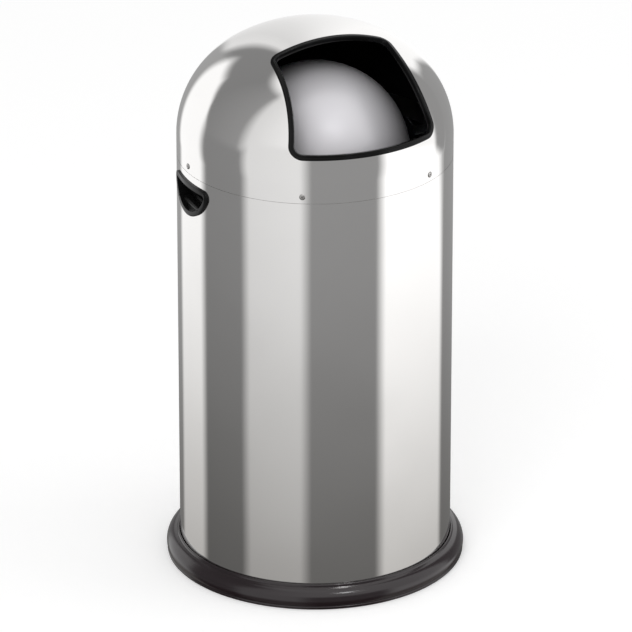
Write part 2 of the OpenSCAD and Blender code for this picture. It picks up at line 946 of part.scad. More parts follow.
// Foot on the joint band, shelf inwards and an ear that hangs from the shelf.
module pivot_bracket() {
    half = bracket_w / 2;
    difference() {
        union() {
            intersection() {
                tube(foot_r, foot_r - bracket_t, shelf_z, foot_top);
                translate([0, -half, shelf_z])
                    cube([body_r, bracket_w, foot_top - shelf_z]);
            }
            intersection() {
                cylinder(h = top_z, r = foot_r);
                translate([ear_x, -half, shelf_z])
                    cube([foot_r, bracket_w, bracket_t]);
            }
            translate([ear_x, -half, ear_low + half])
                cube([bracket_t, bracket_w, shelf_z - ear_low - half + bracket_t]);
            shaft_x(ear_x, ear_x + bracket_t, half, 0, ear_low + half);
        }
        rivet_holes();
        shaft_x(ear_x - over, ear_x + bracket_t + over, axle_r + axle_gap + bush_wall);
        shaft_x(ear_x - over, ear_x + bracket_t + over, stop_d / 2, 0, flap_z - stop_radius);
    }
}

module pivot_bracket_right() {
    color(zinc)
        pivot_bracket();
}

module pivot_bracket_left() {
    color(zinc)
        on_left()
            pivot_bracket();
}

module pivot_bush() {
    difference() {
        union() {
            shaft_x(ear_x - bush_flange_t, ear_x, bush_flange_d / 2);
            shaft_x(ear_x - over, bush_end, axle_r + axle_gap + bush_wall);
        }
        shaft_x(ear_x - bush_flange_t - over, bush_end + over, axle_r + axle_gap);
    }
}

module pivot_bush_right() {
    color(nylon)
        pivot_bush();
}

module pivot_bush_left() {
    color(nylon)
        on_left()
            pivot_bush();
}

module stop_pins() {
    pin_z = flap_z - stop_radius;
    color(zinc)
        for (way = [0, 1])
            mirror([way, 0, 0]) {
                shaft_x(hub_x - stop_in, ear_x + bracket_t, stop_d / 2, 0, pin_z);
                translate([ear_x + bracket_t, 0, 0])
                    shaft_x(0, stop_head_h, stop_d * 0.8, 0, pin_z);
            }
}

// ---------------------------------------------------------------- flap

module flap_shell() {
    color(polished)
        difference() {
            union() {
                translate([0, 0, flap_z])
                    difference() {
                        sphere(r = flap_r, $fn = 180);
                        sphere(r = flap_r - flap_t, $fn = 180);
                        translate([-2 * flap_r, -2 * flap_r, -4 * flap_r])
                            cube(4 * flap_r);
                    }
                translate([0, 0, flap_z])
                    tube(flap_r, bead_r, 0, flap_bead);
            }
            for (way = [0, 180])
                rotate([0, 0, way]) {
                    shaft_x(arm_x, hub_x, axle_r);
                }
        }
}

// Side plate with the curved slot that the stop pin runs in.
module flap_hub() {
    slot_half = stop_d / 2 + stop_gap;
    difference() {
        shaft_x(arm_x, hub_x, hub_r);
        translate([0, 0, flap_z])
            sphere(r = flap_r, $fn = 180);
        shaft_x(arm_x - over, hub_x + over, axle_r);
        translate([arm_x - over, 0, flap_z])
            rotate([0, 90, 0]) {
                rotate([0, 0, -flap_swing])
                    rotate_extrude(angle = 2 * flap_swing)
                        translate([stop_radius - slot_half, 0])
                            square([2 * slot_half, hub_x - arm_x + 2 * over]);
                for (turn = [-flap_swing, flap_swing])
                    rotate([0, 0, turn])
                        translate([stop_radius, 0, 0])
                            cylinder(h = hub_x - arm_x + 2 * over, r = slot_half);
            }
    }
}

module flap_hub_right() {
    color(black)
        flap_hub();
}

module flap_hub_left() {
    color(black)
        on_left()
            flap_hub();
}

module flap_axle() {
    shaft_x(arm_x - arm_t, axle_end, axle_r);
    shaft_x(arm_x - arm_t - axle_head_h, arm_x - arm_t, axle_head_r);
    shaft_x(arm_x, shoulder_x, shoulder_r);
}

module flap_axle_right() {
    color(zinc)
        flap_axle();
}

module flap_axle_left() {
    color(zinc)
        on_left()
            flap_axle();
}

module axle_clips() {
    color(zinc)
        for (way = [0, 1])
            mirror([way, 0, 0])
                difference() {
                    shaft_x(clip_x, clip_x + clip_t, clip_d / 2);
                    shaft_x(clip_x - over, clip_x + clip_t + over, axle_r);
                }
}

// Flat bar inside the flap, from the axle down to the counterweight.
module weight_arm() {
    x0 = arm_x - arm_t;
    low = flap_z - weight_drop;
    difference() {
        union() {
            shaft_x(x0, arm_x, arm_w / 2);
            shaft_x(x0, arm_x, arm_w / 2, 0, low);
            translate([x0, -arm_w / 2, low])
                cube([arm_t, arm_w, weight_drop]);
        }
        shaft_x(x0 - over, arm_x + over, axle_r);
        shaft_x(x0 - over, arm_x + over, arm_screw_d / 2, 0, low);
    }
}

module weight_arm_right() {
    color(zinc)
        weight_arm();
}

module weight_arm_left() {
    color(zinc)
        on_left()
            weight_arm();
}

module counterweight() {
    half = arm_x - arm_t;
    low = flap_z - weight_drop;
    color(zinc)
        difference() {
            shaft_x(-half, half, weight_d / 2, 0, low);
            for (way = [0, 1])
                mirror([way, 0, 0])
                    shaft_x(half - weight_screw_in - over, half + over, arm_screw_d / 2, 0, low);
        }
}

module weight_screws() {
    low = flap_z - weight_drop;
    color(zinc)
        for (way = [0, 1])
            mirror([way, 0, 0]) {
                shaft_x(arm_x - arm_t - weight_screw_in, arm_x, arm_screw_d / 2, 0, low);
                shaft_x(arm_x, arm_x + weight_head_h, arm_screw_d * 0.8, 0, low);
            }
}

base_ring();
base_plate();
base_screws();
centring_blocks();
liner_wall();
liner_floor();
liner_ears();
ear_rivets();
liner_handle_front();
liner_handle_back();
body_shell();
bottom_hoop();
joint_band();
dome_shell();
inner_hood();
seam_rivets();
mouth_trim();
grip_left();
grip_right();
grip_retainer_left();
grip_retainer_right();
pivot_bracket_left();
pivot_bracket_right();
pivot_bush_left();
pivot_bush_right();
stop_pins();
flap_shell();
flap_hub_left();
flap_hub_right();
flap_axle_left();
flap_axle_right();
axle_clips();
weight_arm_left();
weight_arm_right();
counterweight();
weight_screws();
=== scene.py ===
# %% [markdown]
# # A dome top waste bin
#
# The bin is a polished steel casing that stands in a black base ring. Its dome has a mouth with a moulded
# black trim, and a satin ball-shaped flap swings behind it over a galvanised liner. The solids come
# from the CAD part. This file gives them their looks: smooth sheet metal, moulded edges, rivets, finishes
# made of shader nodes, and a soft studio to see them in.

import math

import bmesh
import bpy
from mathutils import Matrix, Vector


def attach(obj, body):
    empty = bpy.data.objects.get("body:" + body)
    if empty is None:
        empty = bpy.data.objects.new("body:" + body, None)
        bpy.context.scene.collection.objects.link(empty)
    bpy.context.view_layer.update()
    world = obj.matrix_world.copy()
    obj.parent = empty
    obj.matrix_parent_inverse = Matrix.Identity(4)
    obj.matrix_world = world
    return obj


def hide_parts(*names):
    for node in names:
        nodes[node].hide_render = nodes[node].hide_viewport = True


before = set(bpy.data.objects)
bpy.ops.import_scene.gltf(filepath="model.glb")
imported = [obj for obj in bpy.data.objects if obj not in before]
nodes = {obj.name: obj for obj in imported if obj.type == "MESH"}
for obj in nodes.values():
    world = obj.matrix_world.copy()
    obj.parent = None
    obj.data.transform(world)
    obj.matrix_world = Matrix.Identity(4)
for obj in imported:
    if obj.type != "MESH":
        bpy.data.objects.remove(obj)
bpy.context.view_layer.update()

# %% [markdown]
# ## Sizes
#
# Lengths are in metres and follow the part's own values. The dome is two arcs: a tight one over the
# shoulder, the knuckle, whose middle lies off the axis, and a flatter crown whose middle lies on it. The
# sums behind the two arcs are repeated here, because the smooth shading and the trim need the exact
# surface.

# %% Sizes of the casing and its dome
MM = 0.001
BODY_R = 182 * MM
SEAM_Z = 574 * MM
SHOULDER_Z = 600 * MM
DOME_FLAT = 32 * MM
CROWN_EXTRA = 40 * MM
KNUCKLE_X = DOME_FLAT + DOME_FLAT**2 / (2 * CROWN_EXTRA)
KNUCKLE_R = BODY_R - KNUCKLE_X
CROWN_R = BODY_R + CROWN_EXTRA
TOP_Z = SHOULDER_Z + BODY_R - DOME_FLAT
CROWN_Z = TOP_Z - CROWN_R
CROWN_ANGLE = math.atan2(KNUCKLE_X, SHOULDER_Z - CROWN_Z)
SPLIT_R = KNUCKLE_X + KNUCKLE_R * math.sin(CROWN_ANGLE)


def sheet_normal(x, y, z):
    """The outward direction of the casing's surface at a point on it, body and dome alike."""
    r = math.hypot(x, y)
    out = Vector((x, y, 0)) / max(r, 1e-9)
    if z <= SHOULDER_Z:
        return out
    if r > SPLIT_R:
        return (out * (r - KNUCKLE_X) + Vector((0, 0, z - SHOULDER_Z))).normalized()
    return Vector((x, y, z - CROWN_Z)).normalized()


def dome_height(r):
    """Height of the dome's outer surface at a distance r from the axis."""
    if r > SPLIT_R:
        return SHOULDER_Z + math.sqrt(max(KNUCKLE_R**2 - (r - KNUCKLE_X) ** 2, 0))
    return CROWN_Z + math.sqrt(CROWN_R**2 - r**2)


print("top at", round(TOP_Z, 4), "m, crown angle", round(math.degrees(CROWN_ANGLE), 1), "degrees")

# %% [markdown]
# ## Helpers for meshes
#
# A few small helpers serve all the pieces. One turns a profile about the axis, as a lathe does. One takes
# a copy of a CAD node and merges its loose triangles, and another also rounds the copy's edges with a
# bevel, as a mould or a press does. One bakes the modifiers, so that each finished piece is a plain mesh.

# %% Helpers for meshes


def new_piece(name, mesh):
    """A new object in the scene with this mesh."""
    piece = bpy.data.objects.new(name, mesh)
    bpy.context.scene.collection.objects.link(piece)
    return piece


def smooth(mesh, angle):
    """Smooth shading that stays sharp at edges steeper than the angle."""
    mesh.shade_smooth()
    mesh.set_sharp_from_angle(angle=math.radians(angle))


def bake(piece):
    """Turns the piece's modifiers into a plain mesh."""
    graph = bpy.context.evaluated_depsgraph_get()
    mesh = bpy.data.meshes.new_from_object(piece.evaluated_get(graph))
    piece.modifiers.clear()
    old = piece.data
    piece.data = mesh
    mesh.name = piece.name
    if old.users == 0 and isinstance(old, bpy.types.Mesh):
        bpy.data.meshes.remove(old)
    return piece


def turned(name, profile, segments=256, closed=True, angle=32):
    """A piece turned about the Z axis from (radius, height) points; a closed profile ends where it began."""
    mesh = bpy.data.meshes.new(name)
    bm = bmesh.new()
    rings = []
    for radius, height in profile:
        if radius < 1e-7:
            rings.append([bm.verts.new((0, 0, height))])
            continue
        turns = [2 * math.pi * i / segments for i in range(segments)]
        rings.append([bm.verts.new((radius * math.cos(t), radius * math.sin(t), height)) for t in turns])
    pairs = list(zip(rings, rings[1:] + rings[:1])) if closed else list(zip(rings, rings[1:]))
    for low, high in pairs:
        for i in range(segments):
            j = (i + 1) % segments
            if len(low) == 1 and len(high) == 1:
                continue
            if len(low) == 1:
                bm.faces.new((low[0], high[j], high[i]))
            elif len(high) == 1:
                bm.faces.new((low[i], low[j], high[0]))
            else:
                bm.faces.new((low[i], low[j], high[j], high[i]))
    bmesh.ops.recalc_face_normals(bm, faces=bm.faces)
    bm.to_mesh(mesh)
    bm.free()
    smooth(mesh, angle)
    return new_piece(name, mesh)


def merged_copy(node, name):
    """A copy of a CAD node with its loose triangles joined at their corners."""
    mesh = bpy.data.meshes.new(name)
    bm = bmesh.new()
    bm.from_mesh(nodes[node].data)
    bmesh.ops.remove_doubles(bm, verts=bm.verts, dist=2e-6)
    bm.to_mesh(mesh)
    bm.free()
    mesh.materials.clear()
    return new_piece(name, mesh)


def softened(node, name, width):
    """A merged copy of a CAD node with its flat faces made whole and its sharp edges rounded."""
    piece = merged_copy(node, name)
    bm = bmesh.new()
    bm.from_mesh(piece.data)
    bmesh.ops.dissolve_limit(bm, angle_limit=math.radians(1), verts=bm.verts, edges=bm.edges)
    bm.to_mesh(piece.data)
    bm.free()
    rounding = piece.modifiers.new("rounding", "BEVEL")
    rounding.width = width
    rounding.segments = 3
    rounding.limit_method = "ANGLE"
    rounding.angle_limit = math.radians(35)
    rounding.use_clamp_overlap = True
    bake(piece)
    smooth(piece.data, angle=40)
    return piece


def arc(x, z, radius, start, end, steps):
    """Points of (radius, height) along an arc, angles in degrees."""
    turns = [math.radians(start + (end - start) * i / steps) for i in range(steps + 1)]
    return [(x + radius * math.cos(t), z + radius * math.sin(t)) for t in turns]


largest = max(len(node.data.polygons) for node in nodes.values())
print("helpers for meshes are ready; the frame's largest mesh has", largest, "faces")

# %% [markdown]
# ## Helpers for nodes
#
# Materials, the studio's screen and the tree that places fasteners all do a little arithmetic with nodes.
# Written out, each step takes four or five lines. These helpers say it in one: each adds a node, feeds it
# with other nodes' outputs or plain numbers, and gives back the output that the next step needs.

# %% Helpers for nodes
# Places of the colour sockets on a Mix node: its share and its two colours, then its result.
MIX_SHARE, MIX_LOW, MIX_HIGH, MIX_RESULT = 0, 6, 7, 2


def feed(tree, socket, value):
    """Links another node's output to a socket, or sets the socket's own number or colour."""
    if isinstance(value, bpy.types.NodeSocket):
        tree.links.new(value, socket)
    elif isinstance(value, tuple):
        socket.default_value = (*value, 1)
    else:
        socket.default_value = value


def maths(tree, operation, *values):
    """The result of one Math node."""
    node = tree.nodes.new("ShaderNodeMath")
    node.operation = operation
    for socket, value in zip(node.inputs, values):
        feed(tree, socket, value)
    return node.outputs[0]


def mixed(tree, share, low, high, blend="MIX"):
    """Two colours mixed by a share."""
    mix = tree.nodes.new("ShaderNodeMix")
    mix.data_type = "RGBA"
    mix.blend_type = blend
    feed(tree, mix.inputs[MIX_SHARE], share)
    feed(tree, mix.inputs[MIX_LOW], low)
    feed(tree, mix.inputs[MIX_HIGH], high)
    return mix.outputs[MIX_RESULT]


def soft_step(tree, value, start, end):
    """A mask that rises smoothly from 0 to 1 while the value runs from start to end."""
    step = tree.nodes.new("ShaderNodeMapRange")
    step.interpolation_type = "SMOOTHSTEP"
    step.inputs["From Min"].default_value = start
    step.inputs["From Max"].default_value = end
    tree.links.new(value, step.inputs["Value"])
    return step.outputs["Result"]


def between(tree, mask, low, high):
    """A value that runs from low to high with a mask."""
    span = tree.nodes.new("ShaderNodeMapRange")
    span.inputs["To Min"].default_value = low
    span.inputs["To Max"].default_value = high
    tree.links.new(mask, span.inputs["Value"])
    return span.outputs["Result"]


print("helpers for nodes are ready")

# %% [markdown]
# ## Finishes: shared effects
#
# Two effects are used by several finishes, so each is a node group with named inputs. The first is a fine
# grain: noise that can be stretched, because rolled and polished sheet is drawn out along one direction
# while moulded plastic is even. The second is handling: broad soft marks where hands and cloths have
# dulled or brightened the surface. The groups only put out values, and the shader stays in the material.

# %% Node group: fine grain


def build_group(name, inputs):
    """An empty node group with named inputs that puts out a mask."""
    group = bpy.data.node_groups.new(name, "ShaderNodeTree")
    for label, kind, value in inputs:
        socket = group.interface.new_socket(label, in_out="INPUT", socket_type=kind)
        socket.default_value = value
    group.interface.new_socket("Mask", in_out="OUTPUT", socket_type="NodeSocketFloat")
    return group


def fine_grain_group():
    """Noise on Object coordinates that can be drawn out along one direction."""
    group = build_group(
        "fine grain",
        [
            ("Scale", "NodeSocketFloat", 900.0),
            ("Stretch", "NodeSocketVector", (1.0, 1.0, 1.0)),
            ("Detail", "NodeSocketFloat", 3.0),
        ],
    )
    n, link = group.nodes, group.links.new
    source = n.new("NodeGroupInput")
    result = n.new("NodeGroupOutput")
    place = n.new("ShaderNodeTexCoord")
    stretch = n.new("ShaderNodeVectorMath")
    stretch.operation = "MULTIPLY"
    noise = n.new("ShaderNodeTexNoise")
    noise.inputs["Roughness"].default_value = 0.6
    link(place.outputs["Object"], stretch.inputs[0])
    link(source.outputs["Stretch"], stretch.inputs[1])
    link(stretch.outputs[0], noise.inputs["Vector"])
    link(source.outputs["Scale"], noise.inputs["Scale"])
    link(source.outputs["Detail"], noise.inputs["Detail"])
    link(noise.outputs["Fac"], result.inputs["Mask"])
    return group


FINE_GRAIN = fine_grain_group()
print("group", FINE_GRAIN.name, "with", len(FINE_GRAIN.nodes), "nodes")

# %% Node group: handling marks


def handling_group():
    """Broad soft patches of noise, as strong as the amount says."""
    group = build_group(
        "handling marks",
        [
            ("Scale", "NodeSocketFloat", 6.0),
            ("Amount", "NodeSocketFloat", 0.5),
        ],
    )
    n, link = group.nodes, group.links.new
    source = n.new("NodeGroupInput")
    result = n.new("NodeGroupOutput")
    place = n.new("ShaderNodeTexCoord")
    noise = n.new("ShaderNodeTexNoise")
    noise.inputs["Detail"].default_value = 5.0
    noise.inputs["Distortion"].default_value = 0.6
    link(place.outputs["Object"], noise.inputs["Vector"])
    link(source.outputs["Scale"], noise.inputs["Scale"])
    marks = soft_step(group, noise.outputs["Fac"], start=0.45, end=0.75)
    link(maths(group, "MULTIPLY", marks, source.outputs["Amount"]), result.inputs["Mask"])
    return group


HANDLING = handling_group()
print("group", HANDLING.name, "with", len(HANDLING.nodes), "nodes")

# %% [markdown]
# ## Finishes: one function for all of them
#
# Every finish is a Principled shader fed in the same way: two tones mixed by the handling mask, a
# roughness that rises and falls with it, and a bump from the grain. The values differ from finish to
# finish. Metal has Metallic 1 and takes its look from what it reflects; moulded plastic has Metallic 0.

# %% Finish maker


def group_node(tree, group, **values):
    """A node group placed in a tree with its own values."""
    node = tree.nodes.new("ShaderNodeGroup")
    node.node_tree = group
    for label, value in values.items():
        node.inputs[label].default_value = value
    return node


def bump(tree, height, depth, strength=1.0):
    """Relief from a height mask; the depth is in metres."""
    node = tree.nodes.new("ShaderNodeBump")
    node.inputs["Strength"].default_value = strength
    node.inputs["Distance"].default_value = depth
    tree.links.new(height, node.inputs["Height"])
    return node


def finish(name, tones, rough, metallic, grain, marks, depth, strength=1.0, gloss=0.5):
    """A Principled finish; grain and marks hold the values for the two node groups."""
    material = bpy.data.materials.new(name)
    material.use_nodes = True
    tree = material.node_tree
    shader = tree.nodes["Principled BSDF"]
    shader.inputs["Metallic"].default_value = metallic
    shader.inputs["Specular IOR Level"].default_value = gloss
    grain_node = group_node(tree, FINE_GRAIN, **grain)
    marks_node = group_node(tree, HANDLING, **marks)
    link = tree.links.new
    link(mixed(tree, marks_node.outputs["Mask"], *tones), shader.inputs["Base Color"])
    link(between(tree, marks_node.outputs["Mask"], *rough), shader.inputs["Roughness"])
    relief = bump(tree, grain_node.outputs["Mask"], depth, strength)
    link(relief.outputs["Normal"], shader.inputs["Normal"])
    return material


print("finishes are made of", FINE_GRAIN.name, "and", HANDLING.name)

# %% [markdown]
# ## Finishes of the metals
#
# The casing and the dome are stainless sheet with a bright polish: nearly a mirror, a little blurred,
# with a very slight waviness that makes long reflections run unevenly. The flap is satin and pale. It
# scatters most of its light, so it has only a little Metallic. The rivets and the hidden stainless parts
# are left as rolled.

# %% Polished steel with a slight waviness
POLISHED = finish(
    "polished stainless",
    tones=((0.86, 0.85, 0.84), (0.83, 0.82, 0.81)),
    rough=(0.07, 0.10),
    metallic=1.0,
    grain={"Scale": 420.0, "Stretch": (1.0, 1.0, 0.06), "Detail": 3.0},
    marks={"Scale": 7.0, "Amount": 0.6},
    depth=0.00001,
    strength=0.35,
)


def add_waviness(material, scale, depth):
    """A broad, shallow unevenness of rolled sheet, under the finish's own grain."""
    tree = material.node_tree
    place = tree.nodes.new("ShaderNodeTexCoord")
    noise = tree.nodes.new("ShaderNodeTexNoise")
    noise.inputs["Scale"].default_value = scale
    noise.inputs["Detail"].default_value = 1.0
    tree.links.new(place.outputs["Object"], noise.inputs["Vector"])
    fine = next(n for n in tree.nodes if n.bl_idname == "ShaderNodeBump")
    wave = bump(tree, noise.outputs["Fac"], depth)
    tree.links.new(wave.outputs["Normal"], fine.inputs["Normal"])


add_waviness(POLISHED, scale=5.0, depth=0.0006)
SATIN = finish(
    "satin flap",
    tones=((0.80, 0.785, 0.815), (0.75, 0.735, 0.765)),
    rough=(0.40, 0.48),
    metallic=0.15,
    grain={"Scale": 520.0, "Stretch": (0.25, 1.0, 1.0), "Detail": 3.0},
    marks={"Scale": 9.0, "Amount": 0.5},
    depth=0.00002,
)
PLAIN_STEEL = finish(
    "plain stainless",
    tones=((0.50, 0.49, 0.48), (0.42, 0.41, 0.40)),
    rough=(0.28, 0.40),
    metallic=1.0,
    grain={"Scale": 700.0, "Stretch": (1.0, 1.0, 0.2), "Detail": 4.0},
    marks={"Scale": 30.0, "Amount": 0.8},
    depth=0.00004,
)
print("metals:", POLISHED.name, SATIN.name, PLAIN_STEEL.name)

# %% [markdown]
# ## Finish of the zinc coated steel
#
# The liner and the mechanism are dipped in zinc, which crystallises into spangles. Noise is too soft for
# their edges. A Voronoi texture gives cells with a random colour each, and the brightness of that colour
# takes the place of the handling marks in mixing the two tones.

# %% Zinc coated steel with spangles


def zinc_coated():
    """Cells of slightly different brightness stand for the crystals of the zinc."""
    material = finish(
        "zinc coated steel",
        tones=((0.47, 0.49, 0.51), (0.64, 0.66, 0.67)),
        rough=(0.34, 0.52),
        metallic=1.0,
        grain={"Scale": 260.0, "Stretch": (1.0, 1.0, 1.0), "Detail": 4.0},
        marks={"Scale": 9.0, "Amount": 0.8},
        depth=0.00006,
    )
    tree = material.node_tree
    tones = next(n for n in tree.nodes if n.bl_idname == "ShaderNodeMix")
    place = tree.nodes.new("ShaderNodeTexCoord")
    cells = tree.nodes.new("ShaderNodeTexVoronoi")
    cells.inputs["Scale"].default_value = 150.0
    tree.links.new(place.outputs["Object"], cells.inputs["Vector"])
    grey = tree.nodes.new("ShaderNodeRGBToBW")
    tree.links.new(cells.outputs["Color"], grey.inputs["Color"])
    tree.links.new(grey.outputs["Val"], tones.inputs[MIX_SHARE])
    return material


ZINC = zinc_coated()
print("finish:", ZINC.name)

# %% [markdown]
# ## Finishes of the plastics
#
# The base ring is a glossy moulding in a brownish black. The trim, the grips and the lining are a deeper
# black, and the bushes that the flap turns in are natural nylon. All of them have a fine even grain from
# the mould.

# %% Moulded plastics
BASE_PLASTIC = finish(
    "brownish black moulding",
    tones=((0.0115, 0.0055, 0.0075), (0.0140, 0.0078, 0.0098)),
    rough=(0.15, 0.20),
    metallic=0.0,
    grain={"Scale": 1300.0, "Stretch": (1.0, 1.0, 1.0), "Detail": 2.0},
    marks={"Scale": 22.0, "Amount": 0.7},
    depth=0.00004,
    gloss=0.65,
)
BLACK_PLASTIC = finish(
    "black moulding",
    tones=((0.006, 0.006, 0.006), (0.011, 0.011, 0.012)),
    rough=(0.11, 0.17),
    metallic=0.0,
    grain={"Scale": 1500.0, "Stretch": (1.0, 1.0, 1.0), "Detail": 2.0},
    marks={"Scale": 30.0, "Amount": 0.6},
    depth=0.00003,
    gloss=0.14,
)
LINING = finish(
    "black lining",
    tones=((0.004, 0.004, 0.004), (0.007, 0.007, 0.008)),
    rough=(0.50, 0.62),
    metallic=0.0,
    grain={"Scale": 800.0, "Stretch": (1.0, 1.0, 1.0), "Detail": 3.0},
    marks={"Scale": 14.0, "Amount": 0.8},
    depth=0.00010,
    gloss=0.1,
)
NYLON = finish(
    "natural nylon",
    tones=((0.80, 0.79, 0.74), (0.72, 0.70, 0.64)),
    rough=(0.32, 0.44),
    metallic=0.0,
    grain={"Scale": 1200.0, "Stretch": (1.0, 1.0, 1.0), "Detail": 2.0},
    marks={"Scale": 60.0, "Amount": 0.6},
    depth=0.00003,
)
print("plastics:", BASE_PLASTIC.name, BLACK_PLASTIC.name, LINING.name, NYLON.name)

# %% [markdown]
# ## The polished sheets
#
# A mirror shows every facet. The body and the dome could be turned afresh, as the flap is, but then their
# cut-outs would have to be cut again. They therefore keep the CAD's own outline, and each corner of each
# face is given the true direction of the surface. Faces on the cut edges keep their own direction. The
# body's upper edge is drawn down by half a millimetre, so that the joint shows as the fine dark line that
# two rolled edges leave.

# %% Body and dome as smooth sheet
JOINT_SHADOW = 0.5 * MM
ON_SHEET = 0.93


def true_normals(piece, outward):
    """Gives every face that lies on the sheet the exact surface direction at its corners.

    A face lies on the sheet when the cosine between its own direction and the sheet's is over ON_SHEET.
    """
    mesh = piece.data
    mesh.shade_smooth()
    normals = []
    for face in mesh.polygons:
        for index in face.vertices:
            way = outward(*mesh.vertices[index].co)
            facing = way.dot(face.normal)
            if abs(facing) > ON_SHEET:
                normals.append(way if facing > 0 else -way)
            else:
                normals.append(face.normal.copy())
    mesh.normals_split_custom_set(normals)


def dress(piece, material, body, slot, *replaced):
    """Gives a piece its finish and says which body it moves with and which CAD nodes it stands for."""
    piece.data.materials.clear()
    piece.data.materials.append(material)
    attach(piece, body)
    if replaced:
        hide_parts(*replaced)
    print(piece.name, "rides", body, "with", len(piece.data.polygons), "faces")


steel_body = merged_copy("body_shell", "steel_body")
for corner in steel_body.data.vertices:
    if corner.co.z > SEAM_Z - 1e-5:
        corner.co.z -= JOINT_SHADOW
true_normals(steel_body, sheet_normal)
dress(steel_body, POLISHED, "casing", "polished_steel", "body_shell")
steel_dome = merged_copy("dome_shell", "steel_dome")
true_normals(steel_dome, sheet_normal)
dress(steel_dome, POLISHED, "casing", "polished_steel", "dome_shell")

# %% [markdown]
# ## The ball flap
#
# The flap is the upper half of a satin ball with a small bead rolled round its edge. Half of a plain
# sphere would have no wall, so it is turned from one closed profile: up the outside, over the top, down
# the inside and round the bead.

# %% Ball flap
FLAP_R = 126 * MM
FLAP_T = 1 * MM
FLAP_Z = 567 * MM
BEAD_T = 1.8 * MM
BEAD_H = 4 * MM
BEAD_EDGE = 0.4 * MM
BEAD_ANGLE = 2.2


def flap_profile():
    """The inside stops at BEAD_ANGLE degrees above the edge, where the bead begins."""
    outside = arc(0, FLAP_Z, FLAP_R, 0, 90, 72)
    inside = arc(0, FLAP_Z, FLAP_R - FLAP_T, 90, BEAD_ANGLE, 70)
    bead_r = FLAP_R - BEAD_T
    bead = [(bead_r, FLAP_Z + BEAD_H), (bead_r, FLAP_Z + BEAD_EDGE), (bead_r + BEAD_EDGE, FLAP_Z)]
    return [(max(x, 0), z) for x, z in outside + inside + bead]


ball = turned("ball_flap", flap_profile())
dress(ball, SATIN, "flap", "polished_steel", "flap_shell")

# %% [markdown]
# ## The mouth's trim
#
# The trim is one moulding clipped over the cut edge of the dome. Its outline is a closed curve that lies
# on the dome: level along the sill, leaning in along the sides and straight along the top. Geometry Nodes
# sweep the moulding's section along it. For that the curve must know which way the surface faces at each
# point, so that direction is stored as an attribute and used as the curve's normal.

# %% Outline of the trim's outer edge on the dome
SILL_Z = 632 * MM
MOUTH_HALF = 106 * MM
MOUTH_TOP_HALF = 86 * MM
MOUTH_TOP_Y = 38 * MM
MOUTH_CORNER = 14 * MM
MOUTH_CORNER_Z = dome_height(math.hypot(MOUTH_TOP_HALF, MOUTH_TOP_Y + MOUTH_CORNER))
LEAN = math.atan((MOUTH_HALF - MOUTH_TOP_HALF) / (MOUTH_CORNER_Z - SILL_Z))
SILL_STEPS, CORNER_STEPS, SIDE_STEPS, TOP_STEPS = 40, 16, 60, 30
TRIM_STEP = 1.6 * MM


def front_of_dome(x, z):
    """The point of the dome's front at a height z and an offset x."""
    if z <= SHOULDER_Z + KNUCKLE_R * math.cos(CROWN_ANGLE):
        r = KNUCKLE_X + math.sqrt(max(KNUCKLE_R**2 - (z - SHOULDER_Z) ** 2, 0))
    else:
        r = math.sqrt(max(CROWN_R**2 - (z - CROWN_Z) ** 2, 0))
    return Vector((x, -math.sqrt(max(r * r - x * x, 0)), z))


def top_of_dome(x, y):
    """The point of the dome above a place in its plan."""
    return Vector((x, y, dome_height(math.hypot(x, y))))


def even(points, step):
    """The closed line through the points, cut into even steps."""
    lengths = [0.0]
    loop = points + points[:1]
    for a, b in zip(loop, loop[1:]):
        lengths.append(lengths[-1] + (b - a).length)
    count = round(lengths[-1] / step)
    spaced, k = [], 0
    for i in range(count):
        goal = lengths[-1] * i / count
        while lengths[k + 1] < goal:
            k += 1
        stretch = max(lengths[k + 1] - lengths[k], 1e-12)
        spaced.append(loop[k].lerp(loop[k + 1], (goal - lengths[k]) / stretch))
    return spaced


def mouth_outline():
    """Right half from the middle of the sill to the middle of the top, then its mirror image.

    The steps only have to be fine, because the line is cut into even ones afterwards.
    """
    sin, cos = math.sin(LEAN), math.cos(LEAN)
    low_x = MOUTH_HALF - MOUTH_CORNER * (1 + sin) / cos
    low_z = SILL_Z + MOUTH_CORNER
    high_x, high_y = MOUTH_TOP_HALF - MOUTH_CORNER, -(MOUTH_TOP_Y + MOUTH_CORNER)
    half = [front_of_dome(low_x * i / SILL_STEPS, SILL_Z) for i in range(SILL_STEPS)]
    for i in range(CORNER_STEPS + 1):
        turn = math.radians(-90) + (math.pi / 2 + LEAN) * i / CORNER_STEPS
        x, z = low_x + MOUTH_CORNER * math.cos(turn), low_z + MOUTH_CORNER * math.sin(turn)
        half.append(front_of_dome(x, z))
    side_x, side_z = low_x + MOUTH_CORNER * cos, low_z + MOUTH_CORNER * sin
    for i in range(1, SIDE_STEPS):
        z = side_z + (MOUTH_CORNER_Z - side_z) * i / SIDE_STEPS
        half.append(front_of_dome(side_x - (z - side_z) * math.tan(LEAN), z))
    for i in range(CORNER_STEPS + 1):
        turn = math.pi / 2 * i / CORNER_STEPS
        x, y = high_x + MOUTH_CORNER * math.cos(turn), high_y + MOUTH_CORNER * math.sin(turn)
        half.append(top_of_dome(x, y))
    half += [top_of_dome(high_x * (1 - i / TOP_STEPS), -MOUTH_TOP_Y) for i in range(1, TOP_STEPS + 1)]
    return half + [Vector((-p.x, p.y, p.z)) for p in reversed(half[1:-1])]


outline = even(mouth_outline(), TRIM_STEP)
print("mouth outline:", len(outline), "points, side lean", round(math.degrees(LEAN), 1), "degrees")

